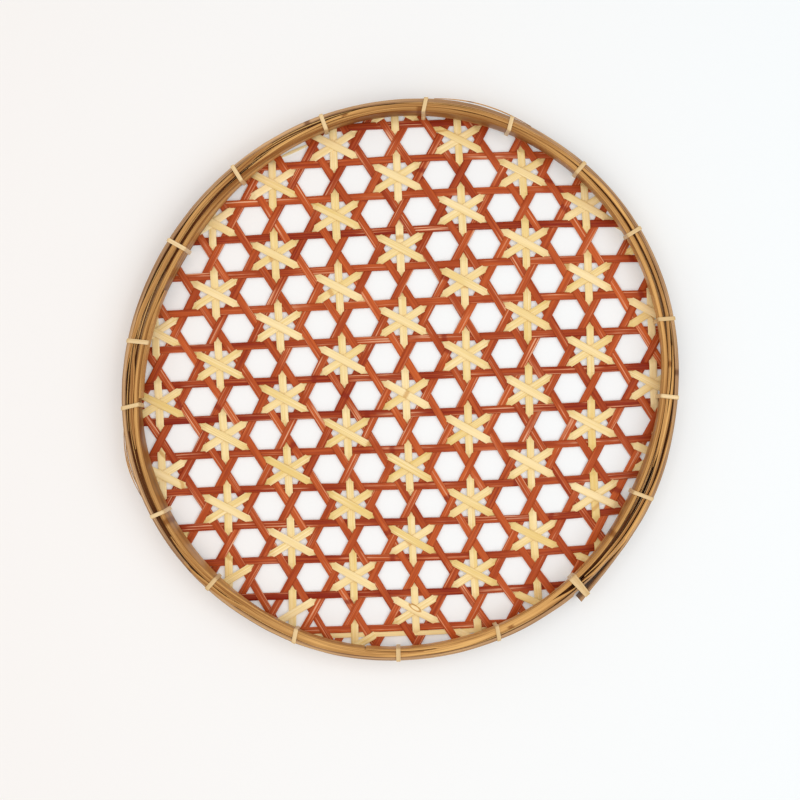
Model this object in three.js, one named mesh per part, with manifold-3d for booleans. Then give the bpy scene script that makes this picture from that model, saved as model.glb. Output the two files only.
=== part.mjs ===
// A round bamboo tray basket, lying on its back. An open three-way weave of stained strips makes
// hexagons, and natural strips laced through every third hexagon make stars. The strip ends turn up
// between an inner and an outer hoop, and ties bind the two.
// Millimetres, +Z up. The origin is the middle of the rim, on the surface that the basket lies on.
import * as THREE from "three";
import { mergeVertices } from "three/addons/utils/BufferGeometryUtils.js";
import Module from "manifold-3d";

const wasm = await Module();
wasm.setup();

// Rim
const RIM_DIAMETER = 380;
const RIM_TOP = 27;
const RIM_STRETCH = 0.019; // the hoops are longer one way and shorter across it by this share
const RIM_LONG_AXIS = 49; // degrees
const OUTER_HOOP_THICKNESS = 2.6;
const INNER_HOOP_THICKNESS = 3.4;
const HOOP_EDGE = 1.2; // worn off the upper corners of the hoops
const HOOP_STEP = 5; // degrees between sections
const FIT = 0.3; // room between pieces that bear on each other

// Hoop joints: the two ends of each hoop are pared down and lie side by side
const SCARF = 15; // degrees
const SCARF_TIP = 0.8;
const OUTER_JOINT = -54; // degrees, where the end that lies outside stops
const INNER_JOINT = 261; // degrees, where the end that lies inside stops

// Weave
const ROW_COUNT = 15.342; // rows of hexagons that the rim spans
const WEAVE_SHIFT_SHARE = new THREE.Vector2(0.121, -0.359); // middle star, from the middle of the rim
const STAINED_WIDTH = 4.3;
const STAR_WIDTH = 4.8;
const EDGE_WIDTH = 3.5;
const STRIP_THICKNESS = 0.6;
const STRIP_GAP = 0.15;
const TUCK = 4.8; // height of the turned-up strip ends, from the middle of the weave

// Ties
const TIE_WIDTH = 2.6;
const TIE_THICKNESS = 0.5;
const JOINT_TIE_WIDTH = 5.2;
const TIE_CORNER = 1;
const TIE_LENGTHS = [
  [-28.3, -7.8, 9.5, 28.4, 47.5, 65.2, 83.4],
  [104.6, 125.1, 146.1, 165.2, 183.5, 204.1],
  [225.5, 245.9, 268, 287.3],
]; // degrees, the ties of each length of binding
const JOINT_TIE = -51; // degrees
const TIE_SEARCH = 4; // degrees a tie may move to reach an open place
const LONGEST_FOOT = 9;
const FOOT_COST = 0.5; // degrees that a tie moves rather than have a foot longer by 1 mm
const FILLER_THICKNESS = 1.4;
const FILLER_PROUD = 0.5; // above the hoops
const FILLER_TAIL = 4; // degrees past the last tie

const DEGREE = Math.PI / 180;
const ROW = RIM_DIAMETER / ROW_COUNT;
const HEXAGON = ROW / Math.sqrt(3); // side of a hexagon, along the middle of the strips
const WEAVE_SHIFT = WEAVE_SHIFT_SHARE.clone().multiplyScalar(ROW);
const LONE_CHORD = 2.1 * HEXAGON; // a strip whose half is shorter than this is left out
const LAYER = STRIP_THICKNESS + STRIP_GAP;

// Levels of a strip's flat upper face, from the middle of the weave. Away from the rim the stained strips
// rise and fall by WAVE. Star strips pass over a lone stained strip and under a crossing of two.
// At the rim each set keeps to a level of its own.
const WAVE = LAYER / (2 - (1.5 * STAINED_WIDTH) / (Math.sin(60 * DEGREE) * HEXAGON));
const STAR_OVER = 2 * LAYER;
const STAR_UNDER = -1.87 * LAYER;
const STAR_STEP = (4 / 3) * LAYER;
const KNOT_STEP = STRIP_THICKNESS - 0.1;
const MIDDLE = STRIP_THICKNESS - STAR_UNDER; // height of the middle of the weave
const LOWEST_LAYER = -LAYER;
const HIGHEST_LAYER = 4 * LAYER;

const OUTER_RADIUS = RIM_DIAMETER / 2;
const GROOVE_OUTSIDE = OUTER_RADIUS - OUTER_HOOP_THICKNESS;
const FOLD = GROOVE_OUTSIDE - FIT - STRIP_THICKNESS + LOWEST_LAYER;
const GROOVE_INSIDE = FOLD - HIGHEST_LAYER - FIT;
const INNER_RADIUS = GROOVE_INSIDE - INNER_HOOP_THICKNESS;
const WOVEN_RADIUS = 6.889 * ROW; // crossings further out are layered
const UNDER_RADIUS = 6.728 * ROW; // star strips dip under crossings nearer than this
const LAYERED_RADIUS = FOLD - 0.42 * HEXAGON;
const TUCK_TOP = MIDDLE + TUCK;
const FOOT_HEIGHT = MIDDLE + HIGHEST_LAYER + FIT;
const HOOP_TOP = RIM_TOP - TIE_THICKNESS - FIT;
const FLAT = 0.98 * STAINED_WIDTH; // half of the level stretch of a strip beside a change of zone
const UNDER_REACH =
  (STAR_WIDTH / 2 + STAINED_WIDTH / 2 / Math.cos(30 * DEGREE)) / Math.tan(30 * DEGREE) -
  STAINED_WIDTH / 4;

const SETS = {
  across: { angle: 0, first: -7, last: 7, over: "rising", rimLevel: 0 },
  rising: { angle: 60, first: -7, last: 6, over: "falling", rimLevel: LAYER },
  falling: { angle: 120, first: -7, last: 6, over: "across", rimLevel: -LAYER },
};
const STAR_SETS = {
  upright: { angle: 90, first: -4, last: 4, step: -1, rimLevel: 2 * LAYER },
  slanting_up: { angle: 30, first: -3, last: 4, step: 0, rimLevel: 3 * LAYER },
  slanting_down: { angle: 150, first: -4, last: 3, step: 1, rimLevel: 4 * LAYER },
};

const materials = {
  stained: new THREE.MeshStandardMaterial({ name: "stained_bamboo", color: 0x9c3a1e, roughness: 0.6 }),
  natural: new THREE.MeshStandardMaterial({ name: "natural_bamboo", color: 0xe6c583, roughness: 0.6 }),
  hoop: new THREE.MeshStandardMaterial({ name: "hoop_bamboo", color: 0xb98a4e, roughness: 0.65 }),
  tie: new THREE.MeshStandardMaterial({ name: "tie_bamboo", color: 0xd6b27a, roughness: 0.6 }),
};

const basket = new THREE.Group();
basket.name = "woven_wall_basket";

function addPiece(name, geometry, material) {
  geometry.computeVertexNormals();
  const mesh = new THREE.Mesh(geometry, material);
  mesh.name = name;
  basket.add(mesh);
}

const rimStretch = new THREE.Matrix4()
  .makeRotationZ(RIM_LONG_AXIS * DEGREE)
  .multiply(new THREE.Matrix4().makeScale(1 + RIM_STRETCH, 1 - RIM_STRETCH, 1))
  .multiply(new THREE.Matrix4().makeRotationZ(-RIM_LONG_AXIS * DEGREE));
const rimRelax = rimStretch.clone().invert();

// Distance from the middle of the rim, as if the rim were a circle.
function rimDistance(point) {
  const round = new THREE.Vector3(point.x, point.y, 0).applyMatrix4(rimRelax);
  return Math.hypot(round.x, round.y);
}

function solidOf(geometry) {
  const triVerts = new Uint32Array(geometry.index.array);
  const vertProperties = new Float32Array(geometry.attributes.position.array);
  return new wasm.Manifold(new wasm.Mesh({ numProp: 3, vertProperties, triVerts }));
}

function geometryOf(solid) {
  const mesh = solid.getMesh();
  const geometry = new THREE.BufferGeometry();
  geometry.setAttribute("position", new THREE.BufferAttribute(mesh.vertProperties, 3));
  return geometry.setIndex(new THREE.BufferAttribute(mesh.triVerts, 1));
}

// A closed solid through a row of sections with the same number of corners.
function loft(sections) {
  const sides = sections[0].length;
  const last = (sections.length - 1) * sides;
  const index = [];
  for (let ring = 0; ring < last; ring += sides) {
    for (let side = 0; side < sides; side += 1) {
      const a = ring + side;
      const b = ring + ((side + 1) % sides);
      index.push(a, b, b + sides, a, b + sides, a + sides);
    }
  }
  for (let side = 1; side < sides - 1; side += 1) {
    index.push(0, side + 1, side, last, last + side, last + side + 1);
  }
  return new THREE.BufferGeometry().setFromPoints(sections.flat()).setIndex(index);
}

// One straight line of the weave: points along it are reached by how far along and how far to the left.
class Line {
  constructor(set, number, offset) {
    this.set = set;
    this.number = number;
    this.along = new THREE.Vector2(Math.cos(set.angle * DEGREE), Math.sin(set.angle * DEGREE));
    this.left = new THREE.Vector2(-this.along.y, this.along.x);
    this.offset = offset;
  }

  at(u, v = 0) {
    return WEAVE_SHIFT.clone()
      .addScaledVector(this.along, u)
      .addScaledVector(this.left, this.offset + v);
  }

  meets(other) {
    const turn = other.left.dot(this.along);
    return (other.offset - this.offset * other.left.dot(this.left)) / turn;
  }

  // How far along the line, v to its left, leaves a circle of the rim. The sign picks the end.
  reach(radius, v, sign) {
    const a = new THREE.Vector3(...this.at(0, v), 0).applyMatrix4(rimRelax);
    const b = new THREE.Vector3(...this.at(1, v), 0).applyMatrix4(rimRelax).sub(a);
    const half = a.dot(b);
    const root = half * half - b.lengthSq() * (a.lengthSq() - radius * radius);
    return (-half + sign * Math.sqrt(Math.max(root, 0))) / b.lengthSq();
  }
}

function linesOf(set, pitch, start) {
  const lines = [];
  for (let number = set.first; number <= set.last; number += 1) {
    lines.push(new Line(set, number, (number + start) * pitch));
  }
  return lines;
}

// A strip is flat above and ridged below, so each of its sections has three corners.
function stripSection(line, u, width, level) {
  const height = MIDDLE + level;
  return [
    new THREE.Vector3(...line.at(u, width / 2), height),
    new THREE.Vector3(...line.at(u, -width / 2), height),
    new THREE.Vector3(...line.at(u), height - STRIP_THICKNESS),
  ];
}

// The corner where a strip turns up between the hoops, and the top of the turned-up end.
function endSections(line, width, level, sign) {
  const face = FOLD - level;
  const height = MIDDLE + level;
  const left = line.at(line.reach(face, width / 2, sign), width / 2);
  const right = line.at(line.reach(face, -width / 2, sign), -width / 2);
  const ridge = line.at(line.reach(face + STRIP_THICKNESS, 0, sign));
  return [
    [
      new THREE.Vector3(...left, height),
      new THREE.Vector3(...right, height),
      new THREE.Vector3(...ridge, height - STRIP_THICKNESS),
    ],
    [left, right, ridge].map((corner) => new THREE.Vector3(...corner, TUCK_TOP)),
  ];
}

function stripGeometry(line, width, stations) {
  const level = line.set.rimLevel;
  const start = line.reach(LAYERED_RADIUS, 0, -1);
  const end = line.reach(LAYERED_RADIUS, 0, 1);
  const inside = stations.filter(([u]) => u > start && u < end).sort((a, b) => a[0] - b[0]);
  const middle = [[start, level], ...inside, [end, level]];
  return loft([
    ...endSections(line, width, level, -1).reverse(),
    ...middle.map(([u, height]) => stripSection(line, u, width, height)),
    ...endSections(line, width, level, 1),
  ]);
}

function reachesRim(line, width) {
  const side = Math.sign(line.offset) * (width / 2);
  return line.reach(FOLD, side, 1) - line.reach(FOLD, side, -1) > 2 * LONE_CHORD;
}

const wovenStrips = [];
const stainedLines = Object.values(SETS).flatMap((set) => linesOf(set, ROW, 0.5));

// The edge strip: a narrow natural one in the room between the lowest stained strip and the ties.
// Beside it the strips are layered.
const lowest = stainedLines.find((line) => line.set === SETS.across && reachesRim(line, STAINED_WIDTH));
const edgeTop = lowest.at(0).y - STAINED_WIDTH / 2 - FIT;
const edgeBottom = Math.max(edgeTop - EDGE_WIDTH, 2 * FIT + TIE_THICKNESS - INNER_RADIUS);
const edgeWidth = edgeTop - edgeBottom;
const edgeLine = new Line(SETS.across, lowest.number, (edgeTop + edgeBottom) / 2 - WEAVE_SHIFT.y);
wovenStrips.push({ line: edgeLine, width: edgeWidth });
addPiece("edge_strip", stripGeometry(edgeLine, edgeWidth, []), materials.natural);

// Stained strips: each crosses the other two sets in turn, over one and under the other.
function stainedStations(line, lines) {
  const crossings = [];
  for (const other of lines) {
    if (other.set !== line.set) {
      const u = line.meets(other);
      const crossing = line.at(u);
      const woven = rimDistance(crossing) < WOVEN_RADIUS && crossing.y > edgeTop + ROW / 2;
      const level = SETS[line.set.over] === other.set ? WAVE : -WAVE;
      crossings.push({ u, woven, level: woven ? level : line.set.rimLevel });
    }
  }
  crossings.sort((a, b) => a.u - b.u);
  const stations = [];
  crossings.forEach(({ u, woven, level }, i) => {
    const changes = crossings[i - 1]?.woven !== woven || crossings[i + 1]?.woven !== woven;
    if (!changes) {
      stations.push([u, level]);
    } else {
      stations.push([u - FLAT, level], [u + FLAT, level]);
    }
  });
  return stations;
}

for (const [name, set] of Object.entries(SETS)) {
  const lines = stainedLines.filter((line) => line.set === set && reachesRim(line, STAINED_WIDTH));
  lines.forEach((line, i) => {
    const stations = stainedStations(line, stainedLines);
    wovenStrips.push({ line, width: STAINED_WIDTH });
    const number = String(i + 1).padStart(2, "0");
    addPiece(`${name}_strip_${number}`, stripGeometry(line, STAINED_WIDTH, stations), materials.stained);
  });
}

// Star strips: from a star they pass over a stained strip, under a crossing, and so on to the next star.
function starStations(line, knot) {
  const stations = [];
  const { step, rimLevel } = line.set;
  const phase = Math.abs(line.number) % 2;
  for (let row = -9; row <= 9; row += 1) {
    const u = row * ROW;
    const centre = line.at(u);
    if (Math.abs(row) % 2 === phase) {
      if (knot && knot.distanceTo(centre) < HEXAGON / 2) {
        stations.push([u, LAYER - STAR_STEP + (step + 1) * KNOT_STEP]);
      } else if (rimDistance(centre) < WOVEN_RADIUS) {
        stations.push([u, LAYER + step * STAR_STEP]);
      } else {
        stations.push([u - FLAT, rimLevel], [u + FLAT, rimLevel]);
      }
    } else {
      if (rimDistance(centre) < UNDER_RADIUS) {
        stations.push([u - UNDER_REACH, STAR_UNDER], [u + UNDER_REACH, STAR_UNDER]);
      } else {
        stations.push([u, rimLevel]);
      }
      for (const sign of [-1, 1]) {
        const edge = u + sign * (ROW / 2);
        const ends = [line.at(edge, HEXAGON / 2), line.at(edge, -HEXAGON / 2)];
        const woven = ends.every((point) => rimDistance(point) < WOVEN_RADIUS);
        stations.push([edge - (sign * STAINED_WIDTH) / 2, woven ? STAR_OVER : rimLevel]);
      }
    }
  }
  return stations;
}

// Star strips that share a star are joined there: three where all are still loose, then two, then one.
function starGroups(lines) {
  const loose = new Set(lines);
  const stars = new Map();
  for (const line of lines) {
    for (let row = -9; row <= 9; row += 1) {
      const centre = line.at(row * ROW);
      const isStar = Math.abs(row) % 2 === Math.abs(line.number) % 2;
      if (isStar && rimDistance(centre) < WOVEN_RADIUS) {
        const key = `${Math.round(centre.x)},${Math.round(centre.y)}`;
        const star = stars.get(key) ?? { centre, lines: [] };
        star.lines.push(line);
        stars.set(key, star);
      }
    }
  }
  const byDistance = [...stars.values()].sort((a, b) => rimDistance(b.centre) - rimDistance(a.centre));
  const groups = [];
  for (const wanted of [3, 2, 1]) {
    for (const star of byDistance) {
      const members = star.lines.filter((line) => loose.has(line));
      if (members.length === wanted) {
        groups.push({ knot: star.centre, members });
        members.forEach((line) => loose.delete(line));
      }
    }
  }
  loose.forEach((line) => groups.push({ knot: null, members: [line] }));
  return groups;
}

const starLines = Object.values(STAR_SETS)
  .flatMap((set) => linesOf(set, 3 * HEXAGON, 0))
  .filter((line) => reachesRim(line, STAR_WIDTH));
wovenStrips.push(...starLines.map((line) => ({ line, width: STAR_WIDTH })));
starGroups(starLines).forEach(({ knot, members }, i) => {
  const solids = members.map((line) => {
    const stations = starStations(line, members.length > 1 ? knot : null);
    return solidOf(stripGeometry(line, STAR_WIDTH, stations));
  });
  const number = String(i + 1).padStart(2, "0");
  addPiece(`star_strips_${number}`, geometryOf(wasm.Manifold.union(solids)), materials.natural);
});

// Hoops: each is bent round from one split length, and its two pared ends lie side by side in the joint.
function hoopSection(turn, inside, outside, bottom) {
  const edge = Math.min(HOOP_EDGE, (outside - inside) / 3);
  const profile = [
    [inside, HOOP_TOP - edge],
    [inside + edge, HOOP_TOP],
    [outside - edge, HOOP_TOP],
    [outside, HOOP_TOP - edge],
    [outside, bottom],
    [inside, bottom],
  ];
  const [cos, sin] = [Math.cos(turn * DEGREE), Math.sin(turn * DEGREE)];
  return profile.map(([radius, height]) => new THREE.Vector3(radius * cos, radius * sin, height));
}

function hoopGeometry({ inside, thickness, bottom, joint, firstEndOutside }) {
  const taper = (thickness - 2 * SCARF_TIP - FIT) / SCARF;
  const outside = inside + thickness;
  const sections = [];
  const steps = Math.round((360 + SCARF) / HOOP_STEP);
  for (let i = 0; i <= steps; i += 1) {
    const turn = (i * (360 + SCARF)) / steps;
    let from = 0;
    let to = thickness;
    if (turn <= SCARF) {
      to = SCARF_TIP + taper * turn;
    } else if (turn >= 360) {
      from = SCARF_TIP + FIT + taper * (turn - 360);
    }
    const [low, high] = firstEndOutside ? [outside - to, outside - from] : [inside + from, inside + to];
    sections.push(hoopSection(joint + turn, low, high, bottom));
  }
  return loft(sections).applyMatrix4(rimStretch);
}

addPiece(
  "outer_hoop",
  hoopGeometry({
    inside: GROOVE_OUTSIDE,
    thickness: OUTER_HOOP_THICKNESS,
    bottom: TIE_THICKNESS + FIT,
    joint: OUTER_JOINT,
    firstEndOutside: true,
  }),
  materials.hoop,
);
addPiece(
  "inner_hoop",
  hoopGeometry({
    inside: INNER_RADIUS,
    thickness: INNER_HOOP_THICKNESS,
    bottom: FOOT_HEIGHT,
    joint: INNER_JOINT,
    firstEndOutside: false,
  }),
  materials.hoop,
);

// Ties: closed bands round both hoops, each led down through an open place of the weave. A foot takes in
// a strip that lies close beside the hoop.
function bandPath(path, { inside, outside, bottom, top, corner, foot }) {
  path.moveTo(inside - foot + corner, bottom);
  path.lineTo(outside - corner, bottom);
  path.lineTo(outside, bottom + corner);
  path.lineTo(outside, top - corner);
  path.lineTo(outside - corner, top);
  path.lineTo(inside + corner, top);
  path.lineTo(inside, top - corner);
  if (foot > 0) {
    path.lineTo(inside, FOOT_HEIGHT + foot);
    path.lineTo(inside - foot, FOOT_HEIGHT);
  }
  path.lineTo(inside - foot, bottom + corner);
  path.closePath();
  return path;
}

function tieGeometry({ angle, foot }, width) {
  const inside = INNER_RADIUS - FIT;
  const outside = OUTER_RADIUS + FIT;
  const band = bandPath(new THREE.Shape(), {
    inside: inside - TIE_THICKNESS,
    outside: outside + TIE_THICKNESS,
    bottom: 0,
    top: RIM_TOP,
    corner: TIE_CORNER,
    foot,
  });
  const hole = bandPath(new THREE.Path(), {
    inside,
    outside,
    bottom: TIE_THICKNESS,
    top: RIM_TOP - TIE_THICKNESS,
    corner: TIE_CORNER / 2,
    foot,
  });
  band.holes.push(hole);
  const geometry = new THREE.ExtrudeGeometry(band, { depth: width, bevelEnabled: false })
    .translate(0, 0, -width / 2)
    .rotateX(90 * DEGREE)
    .rotateZ(angle * DEGREE)
    .applyMatrix4(rimStretch);
  geometry.deleteAttribute("uv");
  geometry.deleteAttribute("normal");
  return mergeVertices(geometry);
}

// Whether a tie's inner leg stands clear of every strip.
function isOpen({ angle, foot }, width) {
  const corners = [];
  for (const side of [-1, 1]) {
    for (const depth of [FIT, FIT + TIE_THICKNESS]) {
      const corner = new THREE.Vector3(INNER_RADIUS - foot - depth, side * (width / 2 + FIT), 0);
      corner.applyAxisAngle(new THREE.Vector3(0, 0, 1), angle * DEGREE).applyMatrix4(rimStretch);
      corners.push(new THREE.Vector2(corner.x, corner.y).sub(WEAVE_SHIFT));
    }
  }
  return wovenStrips.every(({ line, width: stripWidth }) => {
    const sides = corners.map((corner) => corner.dot(line.left) - line.offset);
    return Math.min(...sides) > stripWidth / 2 || Math.max(...sides) < -stripWidth / 2;
  });
}

// The best open place for a tie: near the wanted angle, and with a short foot.
function openPlace(wanted, width) {
  let best = null;
  for (let foot = 0; foot <= LONGEST_FOOT; foot += LONGEST_FOOT / 12) {
    for (let turn = 0; turn <= TIE_SEARCH; turn += TIE_SEARCH / 20) {
      const cost = turn + FOOT_COST * foot;
      const places = [wanted + turn, wanted - turn].map((angle) => ({ angle, foot, cost }));
      const found = places.find((place) => isOpen(place, width));
      if (found && (!best || cost < best.cost)) {
        best = found;
      }
    }
  }
  if (!best) {
    throw new Error(`no open place in the weave for the tie at ${wanted} degrees`);
  }
  return best;
}

// The splint that fills the groove over the strip ends. The ties of its length are bound to it.
function fillerGeometry(from, to) {
  const middle = (GROOVE_INSIDE + GROOVE_OUTSIDE) / 2;
  const steps = Math.ceil((to - from) / HOOP_STEP);
  const sections = [];
  for (let i = 0; i <= steps; i += 1) {
    const turn = (from + ((to - from) * i) / steps) * DEGREE;
    const corner = (radius, height) =>
      new THREE.Vector3(radius * Math.cos(turn), radius * Math.sin(turn), height);
    const inside = middle - FILLER_THICKNESS / 2;
    const outside = middle + FILLER_THICKNESS / 2;
    sections.push([
      corner(inside, HOOP_TOP + FILLER_PROUD),
      corner(outside, HOOP_TOP + FILLER_PROUD),
      corner(outside, TUCK_TOP + FIT),
      corner(inside, TUCK_TOP + FIT),
    ]);
  }
  return loft(sections).applyMatrix4(rimStretch);
}

TIE_LENGTHS.forEach((angles, i) => {
  const places = angles.map((angle) => openPlace(angle, TIE_WIDTH));
  const filler = fillerGeometry(places[0].angle - FILLER_TAIL, places.at(-1).angle + FILLER_TAIL);
  const solids = places.map((place) => solidOf(tieGeometry(place, TIE_WIDTH)));
  const binding = wasm.Manifold.union([solidOf(filler), ...solids]);
  addPiece(`binding_${i + 1}`, geometryOf(binding), materials.tie);
});
addPiece(
  "joint_tie",
  tieGeometry(openPlace(JOINT_TIE, JOINT_TIE_WIDTH), JOINT_TIE_WIDTH),
  materials.tie,
);

export default basket;
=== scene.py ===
"""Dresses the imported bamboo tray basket: its woven strips, hoops, splints and ties, on a pale floor."""

import itertools
from bisect import bisect_right
from math import atan2, copysign, cos, exp, pi, sin, sqrt, tan

import bmesh
import bpy
from bpy.props import FloatProperty, FloatVectorProperty, PointerProperty
from mathutils import Matrix, Vector, noise


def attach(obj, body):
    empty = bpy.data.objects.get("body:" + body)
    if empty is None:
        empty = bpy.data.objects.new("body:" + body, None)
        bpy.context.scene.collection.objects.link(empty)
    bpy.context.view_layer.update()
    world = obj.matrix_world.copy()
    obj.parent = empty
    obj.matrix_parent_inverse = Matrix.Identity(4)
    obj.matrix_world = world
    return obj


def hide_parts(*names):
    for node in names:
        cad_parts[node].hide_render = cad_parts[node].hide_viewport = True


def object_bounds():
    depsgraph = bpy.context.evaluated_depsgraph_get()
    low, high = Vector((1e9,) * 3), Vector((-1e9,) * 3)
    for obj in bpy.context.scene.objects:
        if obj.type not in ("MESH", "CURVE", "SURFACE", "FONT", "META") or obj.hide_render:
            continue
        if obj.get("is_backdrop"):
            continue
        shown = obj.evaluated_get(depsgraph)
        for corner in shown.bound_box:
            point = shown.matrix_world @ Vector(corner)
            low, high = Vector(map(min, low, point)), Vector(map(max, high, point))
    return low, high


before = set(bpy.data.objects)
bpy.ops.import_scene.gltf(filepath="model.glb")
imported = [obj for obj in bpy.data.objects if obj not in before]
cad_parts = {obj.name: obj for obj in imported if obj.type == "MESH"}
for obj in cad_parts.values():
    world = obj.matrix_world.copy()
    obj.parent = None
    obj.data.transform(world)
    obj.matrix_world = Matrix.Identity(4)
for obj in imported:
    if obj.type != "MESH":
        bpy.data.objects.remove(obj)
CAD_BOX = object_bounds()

bl_info = {
    "name": "Star-Woven Tray Basket",
    "version": (1, 0, 0),
    "blender": (4, 5, 0),
    "location": "View3D > Sidebar > Basket",
    "description": "Models a round bamboo tray basket with stars laced into a three-way weave",
    "category": "Object",
}

MM = 0.001
DEGREE = pi / 180

# The rim and the weave, in millimetres and degrees.
RIM_DIAMETER = 380.0
RIM_TOP = 27.0
RIM_STRETCH = 0.019
RIM_LONG_AXIS = 49.0
ROWS_ACROSS = 15.342
OUTER_THICKNESS = 2.6
INNER_THICKNESS = 3.4
FIT = 0.3
SCARF = 15.0
SCARF_TIP = 0.8
OUTER_JOINT = -52.8
INNER_JOINT = 261.0
STAINED_WIDTH = 4.3
STAR_WIDTH = 4.8
EDGE_WIDTH = 3.5
STRIP_THICKNESS = 0.6
LAYER = 0.75
TUCK = 4.8
TIE_THICKNESS = 0.5

# How much wider the strips show than their solids.
STAINED_SPREAD = 1.19
STAR_SPREAD = 1.09

# Each length of binding: start and stop of its splints, and each tie's angle and reach into the weave.
BINDINGS = (
    (1, -50.5, 96, ((-28.3, 0), (-6.8, 1.5), (9.7, 1.5), (29.6, 0), (47.5, 0), (65.2, 0), (83.8, 1.5))),
    (2, 97, 215, ((105.4, 0), (126.5, 0), (146.1, 0), (168.2, 0), (181.9, 0), (205.5, 0))),
    (3, 216, 308.5, ((224.3, 0), (245.5, 0), (268.0, 0), (289.5, 0.75))),
)

# The wide tie at the outer hoop's joint: its angle, and the shift and slant of each of its rounds.
JOINT_TIE = -51.0
JOINT_TIE_ROUNDS = ((-1.45, 0.055), (0.0, 0.0), (1.45, -0.055))
JOINT_TIE_SHARE = 0.72

# How far out the hoops stray at an angle: the inner one's top, the foot of its inside, and the outer one.
RIM_STRAY = (
    (0, -0.6, 1.0, -0.8),
    (30, 0.9, 2.0, -0.3),
    (55, 2.8, 3.4, 0.0),
    (75, 3.6, 3.6, 1.8),
    (92, 3.0, 3.0, 0.6),
    (110, -0.2, 1.0, -0.3),
    (128, -1.8, -1.6, -1.2),
    (148, -3.6, -4.4, -1.4),
    (168, -1.6, -1.0, -0.2),
    (180, 0.2, 0.8, 0.7),
    (190, 2.2, 1.2, 1.2),
    (203, 3.0, 1.2, 1.0),
    (218, 2.8, 1.4, 0.3),
    (235, 0.6, 2.0, -0.8),
    (255, 2.5, 3.3, -0.8),
    (275, 2.0, 3.0, -0.7),
    (300, 1.4, 3.0, 0.3),
    (315, 0.8, 1.8, 1.0),
    (333, -0.9, -0.8, 1.6),
    (348, -1.2, 0.0, -0.4),
)

# The most that the foot of the inner hoop stands out beyond its top.
FOOT_LEAN = 1.6

# How far the outer hoop's end has sprung out, the angle over which that fades, and how much it thickens.
SPRING = 6.4
SPRING_REACH = 8.0
SPRING_BULK = 0.25

# How a hoop is drawn: steps, wear, ripple, rounding, and angles, swelling and half width of its nodes.
HOOP_STEPS = 480
TOP_WEAR = 0.45
TOP_NICKS = 0.1
WALL_RIPPLE = 0.08
INNER_ROUND = 1.5
OUTER_ROUND = 0.9
HOOP_FOOT_ROUND = 0.8
HOOP_NODES = (67.0, 171.0, 283.0)
NODE_SWELL = 0.12
NODE_REACH = 0.9

# How much paler the inner hoop is, and on which side. Then the painted light on the foot of its walls,
# and on which side.
HOOP_PALE = 0.1
HOOP_PALE_SIDE = 290.0
WALL_PAINTED_LIGHT = 0.5
WALL_PAINTED_LIGHT_SIDE = 330.0

# How a splint is drawn: steps, share of its thickness at a tip and gained with each step, and unevenness.
SPLINT_STEP = 1.2
SPLINT_FEWEST_STEPS = 12
SPLINT_TIP = 0.25
SPLINT_PARING = 0.15
SPLINT_SWELL = 0.3
SPLINT_WAVE = 0.4
SPLINT_ROUND = 0.3
SPLINT_GIRTH = 40.0

# Dark splints packed in the groove, whose near-black colour is painted shade of its depths: share of the way
# across it, thickness and upper edge.
PACKED_SPLINTS = ((0.2, 1.9, 22.8), (0.5, 2.0, 22.3), (0.8, 1.9, 23.0))
# How much darker still the packed splints are drawn, as painted shade.
PACKED_SHADE_TONE = -0.2

# Thin splints that stand between them along each length: first and last angle, and the same sizes.
STANDING_SPLINTS = {
    1: ((-33, -12, 0.2, 0.5, 24.4), (2, 90, 0.83, 0.55, 25.3)),
    2: ((102, 190, 0.32, 0.5, 24.4), (109, 196, 0.57, 0.5, 24.0), (99, 187, 0.83, 0.55, 25.3)),
    3: ((224, 299.5, 0.32, 0.5, 24.4), (228, 305.5, 0.57, 0.5, 24.0), (231, 302.5, 0.83, 0.55, 25.3)),
}
STANDING_SWAY = 0.1
STANDING_TONE = 0.2

# Broader splints that lie on top of each length: thickness, and their course as angles and shares.
LYING_SPLINTS = {
    1: (
        (2.4, ((-50.5, 0.75), (-46, 0.98), (-36, 1.05), (-24, 1.08), (-12, 1.1))),
        (1.9, ((-22, 0.3), (-6, 0.22), (4, 0.3), (14, 0.55), (38, 0.66), (52, 0.45), (75, 0.3), (101, 0.1))),
        (1.7, ((-49, 0.35), (-44, 0.5), (-36, 0.6), (-28, 0.6), (-16, 0.56), (-6, 0.64), (4, 0.75))),
    ),
    2: (
        (1.8, ((92, 0.65), (102, 0.25), (113, 0.15), (124, 0.0))),
        (3.0, ((117, 0.8), (126, 0.6), (140, 0.62), (152, 0.58), (164, 0.7), (176, 1.15))),
        (2.2, ((168, 0.5), (178, 0.3), (191, 0.1))),
    ),
    3: (
        (2.0, ((211, 0.3), (221, 0.2), (234, 0.0))),
        (2.9, ((217, 1.5), (226, 0.9), (238, 0.2), (270, 0.25), (294, 0.15), (301, 0.3), (308.6, 0.75))),
    ),
}
LYING_SPAN = (24.5, 26.1)
LYING_SWAY = 0.08
LYING_TONE = 0.3

# Slivers that have sprung from the outer hoop along each length: first and last angle, and how far out.
SLIVERS = {1: ((61.0, 82.0, 1.2),), 2: ((186.5, 201.0, 2.0), (189.0, 198.0, 1.0)), 3: ()}
SLIVER_THICKNESS = 0.6
SLIVER_SPAN = (24.2, 25.8)
SLIVER_TONE = 0.6

# The splint laid along the inside of the inner hoop: first and last angle, thickness, lower and upper edge.
LAP_SPLINT = (156.0, 180.3, 1.7, 12.0, 25.5)
LAP_TONE = 0.5

# The short sliver under the edge of the weave: the same sizes, and its way inwards from the inner hoop.
LOOSE_SLIVER = (106.8, 119.6, 1.9, 0.3, 1.3)
LOOSE_START = 0.6
LOOSE_REACH = 1.6
LOOSE_BOW = 0.7
LOOSE_TONE = 1.0

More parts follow.
